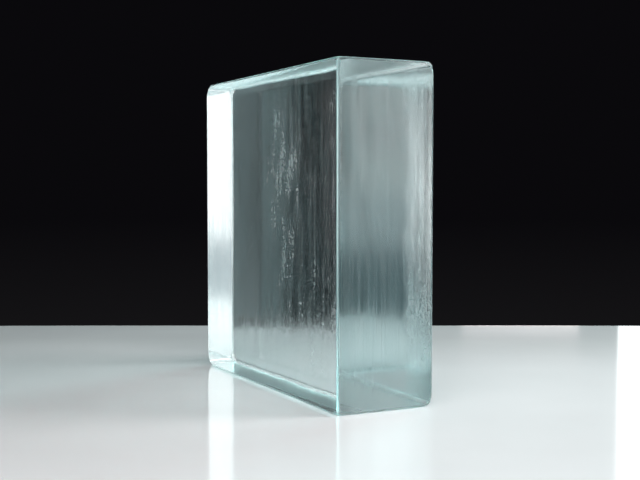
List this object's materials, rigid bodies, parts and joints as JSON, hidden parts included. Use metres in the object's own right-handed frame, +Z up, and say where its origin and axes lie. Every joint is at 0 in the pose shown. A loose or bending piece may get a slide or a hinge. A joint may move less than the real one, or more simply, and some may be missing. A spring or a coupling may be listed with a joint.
{
  "type": "solid glass block",
  "caption": "Square slab-like block of solid pale aqua glass standing on a narrow face, with hammered big faces, finely combed edge faces, soft arrises and dubbed corner tips.",
  "frame": {"origin": "centre of the narrow face that the block stands on", "axes": "+Z up, X along the block's width, the two big square faces look to -Y and +Y"},
  "size_m": [0.19, 0.06, 0.19],
  "materials": {
    "aqua_glass": "clear pale aqua glass, hammered on the two big faces and finely combed on the narrow ones"
  },
  "bodies": {
    "root": {"glass_block": "aqua_glass"}
  },
  "joints": []
}
